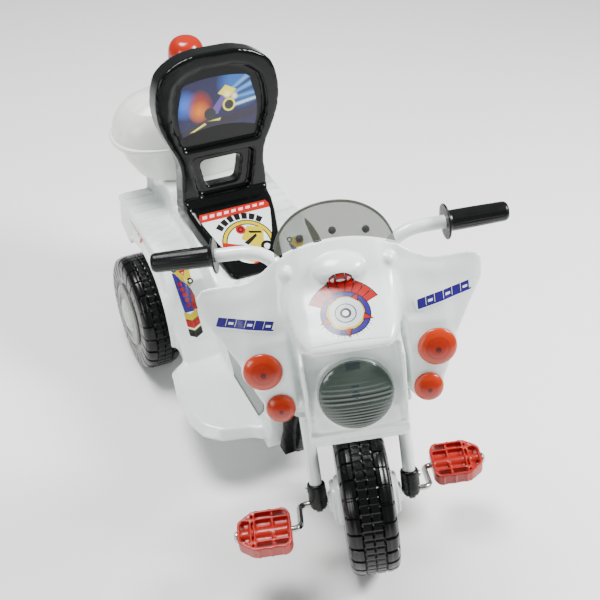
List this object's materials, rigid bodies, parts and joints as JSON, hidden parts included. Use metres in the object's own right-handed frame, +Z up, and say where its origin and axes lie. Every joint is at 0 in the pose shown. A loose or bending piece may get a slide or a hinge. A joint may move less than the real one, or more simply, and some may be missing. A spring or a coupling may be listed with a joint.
{
  "type": "pedal tricycle",
  "caption": "Toddler's pedal tricycle styled as a patrol motorcycle: nose fairing with lamps, high-backed saddle, foot boards, lidded rear box.",
  "frame": {"origin": "on the ground at the middle of the tricycle's footprint, 2 mm beside its own mid-plane", "axes": "+Z up, -Y the way it rides, +X its own left side"},
  "size_m": [0.463, 0.8907, 0.5786],
  "materials": {
    "shell_white": "blow-moulded white plastic with a faint green cast",
    "box_white": "moulded white plastic",
    "seat_black": "shiny black blow-moulded plastic",
    "neck_black": "satin black plastic",
    "tyre_black": "hard black blow-moulded tread",
    "hub_white": "moulded pale plastic",
    "bar_white": "white enamel on steel tube",
    "grip_black": "satin black plastic",
    "pedal_red": "ribbed red plastic",
    "lens_orange": "translucent orange-red plastic",
    "beacon_black": "satin black plastic",
    "lamp_clear": "clear ribbed plastic",
    "lamp_mirror": "metallised plastic dish",
    "screen_smoke": "smoked clear plastic",
    "steel_zinc": "zinc-plated steel",
    "steel_painted": "grey enamel on steel",
    "bush_nylon": "natural nylon"
  },
  "bodies": {
    "frame": {"body_shell": "shell_white", "seat": "seat_black", "neck_cover": "neck_black", "head_tube": "steel_zinc", "rear_axle": "steel_zinc", "axle_bush_left": "bush_nylon", "axle_bush_right": "bush_nylon", "axle_cap_left": "steel_zinc", "axle_cap_right": "steel_zinc", "top_box": "box_white", "lid_hinge_pin": "steel_zinc", "body_screws": "steel_zinc"},
    "fork": {"handlebar_tube_left": "bar_white", "handlebar_tube_right": "bar_white", "grip_left": "grip_black", "grip_right": "grip_black", "fork_end_left": "grip_black", "fork_end_right": "grip_black", "fork_rivets": "steel_zinc", "lower_yoke": "steel_painted", "upper_yoke": "steel_painted", "steering_stem": "steel_zinc", "stem_nut": "steel_zinc", "steering_washers": "bush_nylon", "fairing": "shell_white", "fairing_stay": "steel_painted", "headlight_lens": "lamp_clear", "headlight_reflector": "lamp_mirror", "signal_lens_upper_left": "lens_orange", "signal_lens_upper_right": "lens_orange", "signal_lens_lower_left": "lens_orange", "signal_lens_lower_right": "lens_orange", "windscreen": "screen_smoke", "windscreen_screws": "steel_zinc"},
    "front_wheel": {"front_tyre": "tyre_black", "front_hub_left": "hub_white", "front_hub_right": "hub_white", "crank_axle": "steel_zinc", "pedal_cap_left": "grip_black", "pedal_cap_right": "grip_black"},
    "left_pedal": {"pedal_left": "pedal_red"},
    "right_pedal": {"pedal_right": "pedal_red"},
    "left_rear_wheel": {"rear_tyre_left": "tyre_black", "rear_hub_left": "hub_white", "rear_hub_cover_left": "hub_white"},
    "right_rear_wheel": {"rear_tyre_right": "tyre_black", "rear_hub_right": "hub_white", "rear_hub_cover_right": "hub_white"},
    "lid": {"box_lid": "box_white", "beacon_base": "beacon_black", "beacon_dome": "lens_orange"}
  },
  "joints": [
    {"name": "steering", "type": "hinge", "parent": "frame", "child": "fork", "pos_m": [-0.002, -0.332, 0.112], "axis": [0, 0.3665, 0.9304], "range_deg": [-8.3, 51.7]},
    {"name": "front_wheel_spin", "type": "hinge", "parent": "fork", "child": "front_wheel", "pos_m": [-0.002, -0.332, 0.112], "axis": [0.9291, -0.344, 0.1355], "continuous": true},
    {"name": "pedal_left_spin", "type": "hinge", "parent": "front_wheel", "child": "left_pedal", "pos_m": [0.16199, -0.32643, 0.10496], "axis": [0.9291, -0.344, 0.1355], "continuous": true},
    {"name": "pedal_right_spin", "type": "hinge", "parent": "front_wheel", "child": "right_pedal", "pos_m": [-0.16599, -0.33757, 0.11904], "axis": [0.9291, -0.344, 0.1355], "continuous": true},
    {"name": "rear_left_spin", "type": "hinge", "parent": "frame", "child": "left_rear_wheel", "pos_m": [0.149, 0.22, 0.104], "axis": [1, 0, 0], "continuous": true},
    {"name": "rear_right_spin", "type": "hinge", "parent": "frame", "child": "right_rear_wheel", "pos_m": [-0.153, 0.22, 0.104], "axis": [1, 0, 0], "continuous": true},
    {"name": "lid_hinge", "type": "hinge", "parent": "frame", "child": "lid", "pos_m": [-0.002, 0.441, 0.374], "axis": [-1, 0, 0], "range_deg": [0, 100]}
  ]
}
